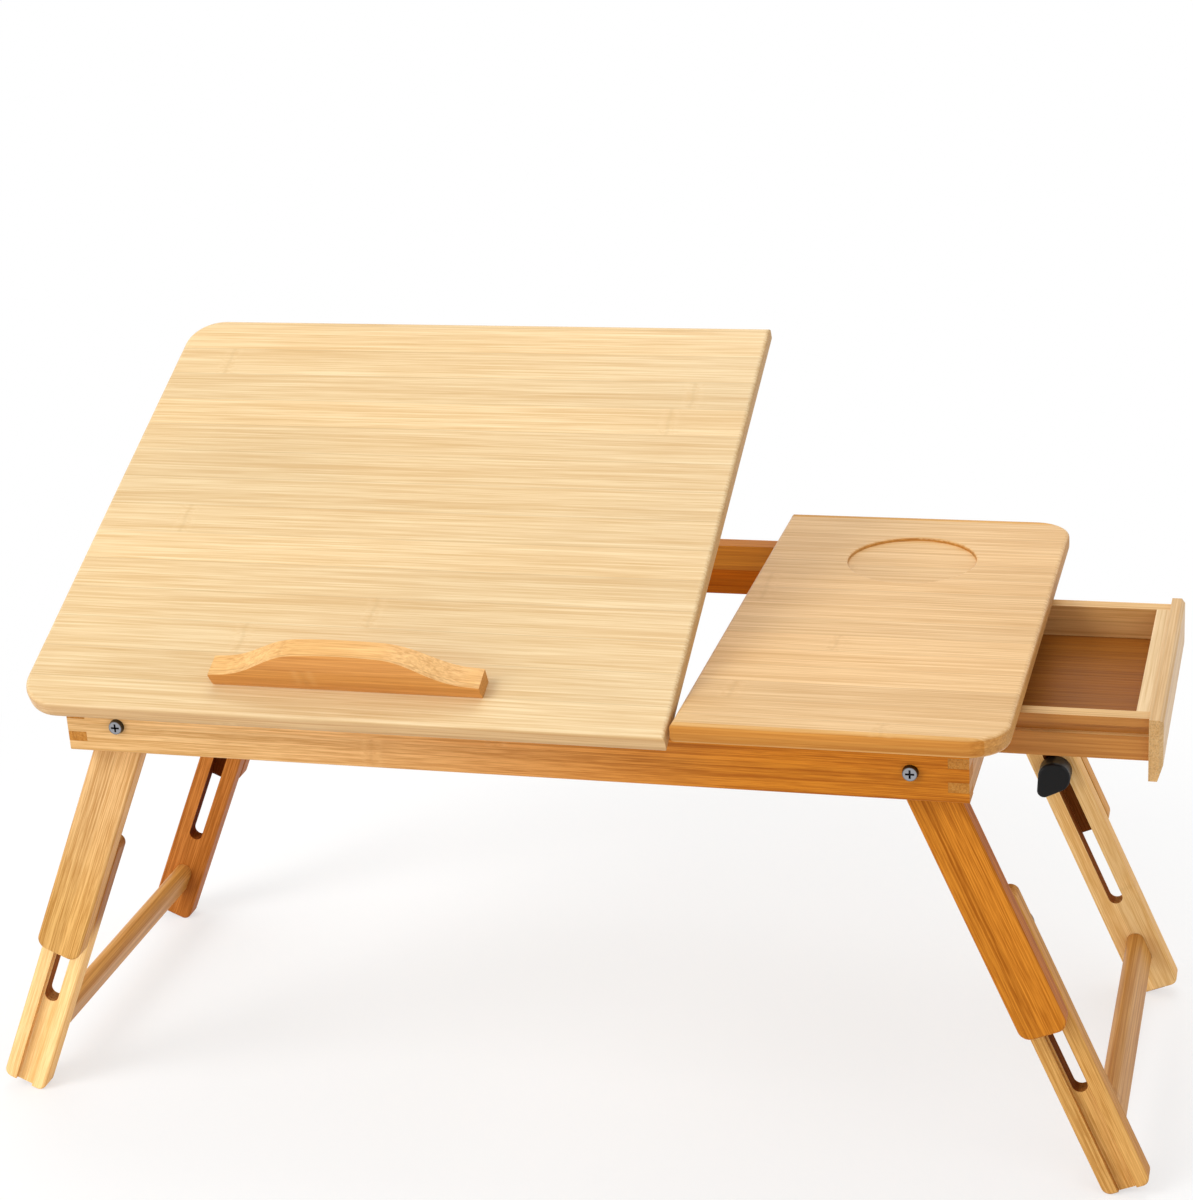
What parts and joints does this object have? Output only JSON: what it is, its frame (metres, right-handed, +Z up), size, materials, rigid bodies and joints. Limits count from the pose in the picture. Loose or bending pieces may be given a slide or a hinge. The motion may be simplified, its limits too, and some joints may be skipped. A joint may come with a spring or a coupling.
{
  "type": "laptop stand with drawer",
  "caption": "Folding bamboo bed desk with a tilting top and laptop ledge, a fixed side top with a cup recess, a side drawer and splayed telescoping legs.",
  "frame": {"origin": "on the floor, under the middle of the frame", "axes": "+X towards the drawer, +Y from the front edge with the laptop ledge to the back, +Z up"},
  "size_m": [0.6303, 0.2994, 0.3814],
  "materials": {
    "bamboo_top": "satin",
    "bamboo_frame": "satin",
    "bamboo_leg": "satin",
    "bamboo_drawer": "satin",
    "bamboo_dark": "satin",
    "black_plastic": "matte",
    "chrome": "polished",
    "steel": "brushed",
    "nylon": "matte"
  },
  "bodies": {
    "frame": {"front_apron": "bamboo_frame", "back_apron": "bamboo_frame", "left_rail": "bamboo_frame", "right_rail": "bamboo_frame", "divider": "bamboo_frame", "bearer": "bamboo_frame", "fixed_top": "bamboo_top", "left_hinge_fixed_leaf": "steel", "right_hinge_fixed_leaf": "steel", "apron_hinge_screws": "steel", "stay_clamp_bolt": "steel", "pivot_bolts": "chrome", "pivot_nuts": "steel", "pivot_spacers": "nylon", "front_runner": "bamboo_frame", "back_runner": "bamboo_frame"},
    "tilting_top": {"tilting_top": "bamboo_top", "laptop_stop": "bamboo_top", "stop_screws": "steel", "left_hinge_lid_leaf": "steel", "right_hinge_lid_leaf": "steel", "lid_hinge_screws": "steel", "stay_plate": "steel", "stay_screws": "steel"},
    "stay_knob": {"stay_knob": "black_plastic"},
    "drawer": {"drawer_front_side": "bamboo_drawer", "drawer_back_side": "bamboo_drawer", "drawer_inner_front": "bamboo_drawer", "drawer_back": "bamboo_drawer", "drawer_floor": "bamboo_dark", "drawer_face": "bamboo_drawer"},
    "left_upper_legs": {"front_left_upper_leg": "bamboo_leg", "back_left_upper_leg": "bamboo_leg", "front_left_stud": "steel", "back_left_stud": "steel", "front_left_washer": "steel", "back_left_washer": "steel"},
    "left_lower_legs": {"front_left_lower_leg": "bamboo_leg", "back_left_lower_leg": "bamboo_leg", "left_brace": "bamboo_leg"},
    "front_left_knob": {"front_left_knob": "black_plastic"},
    "back_left_knob": {"back_left_knob": "black_plastic"},
    "right_upper_legs": {"front_right_upper_leg": "bamboo_leg", "back_right_upper_leg": "bamboo_leg", "front_right_stud": "steel", "back_right_stud": "steel", "front_right_washer": "steel", "back_right_washer": "steel"},
    "right_lower_legs": {"front_right_lower_leg": "bamboo_leg", "back_right_lower_leg": "bamboo_leg", "right_brace": "bamboo_leg"},
    "front_right_knob": {"front_right_knob": "black_plastic"},
    "back_right_knob": {"back_right_knob": "black_plastic"}
  },
  "joints": [
    {"name": "top_tilt", "type": "hinge", "parent": "frame", "child": "tilting_top", "pos_m": [0, -0.1325, 0.2535], "axis": [1, 0, 0], "range_deg": [-24.9, 0]},
    {"name": "stay_knob_turn", "type": "hinge", "parent": "frame", "child": "stay_knob", "pos_m": [-0.06175, -0.06092, 0.24572], "axis": [1, 0, 0], "range_deg": [-180, 180]},
    {"name": "drawer_slide", "type": "slide", "parent": "frame", "child": "drawer", "axis": [1, 0, 0], "range_m": [-0.0778, 0.018]},
    {"name": "left_leg_fold", "type": "hinge", "parent": "frame", "child": "left_upper_legs", "pos_m": [-0.2033, 0, 0.2392], "axis": [0, 1, 0], "range_deg": [-103.7, 0]},
    {"name": "left_leg_slide", "type": "slide", "parent": "left_upper_legs", "child": "left_lower_legs", "axis": [-0.3939, 0, -0.9191], "range_m": [-0.082, 0.009]},
    {"name": "front_left_knob_turn", "type": "hinge", "parent": "left_upper_legs", "child": "front_left_knob", "pos_m": [-0.24683, -0.0895, 0.13764], "axis": [0, 1, 0], "range_deg": [-180, 180]},
    {"name": "back_left_knob_turn", "type": "hinge", "parent": "left_upper_legs", "child": "back_left_knob", "pos_m": [-0.24683, 0.0895, 0.13764], "axis": [0, 1, 0], "range_deg": [-180, 180]},
    {"name": "right_leg_fold", "type": "hinge", "parent": "frame", "child": "right_upper_legs", "pos_m": [0.2033, 0, 0.2392], "axis": [0, -1, 0], "range_deg": [-103.7, 0]},
    {"name": "right_leg_slide", "type": "slide", "parent": "right_upper_legs", "child": "right_lower_legs", "axis": [0.3939, 0, -0.9191], "range_m": [-0.082, 0.009]},
    {"name": "front_right_knob_turn", "type": "hinge", "parent": "right_upper_legs", "child": "front_right_knob", "pos_m": [0.24683, -0.0895, 0.13764], "axis": [0, 1, 0], "range_deg": [-180, 180]},
    {"name": "back_right_knob_turn", "type": "hinge", "parent": "right_upper_legs", "child": "back_right_knob", "pos_m": [0.24683, 0.0895, 0.13764], "axis": [0, 1, 0], "range_deg": [-180, 180]}
  ]
}
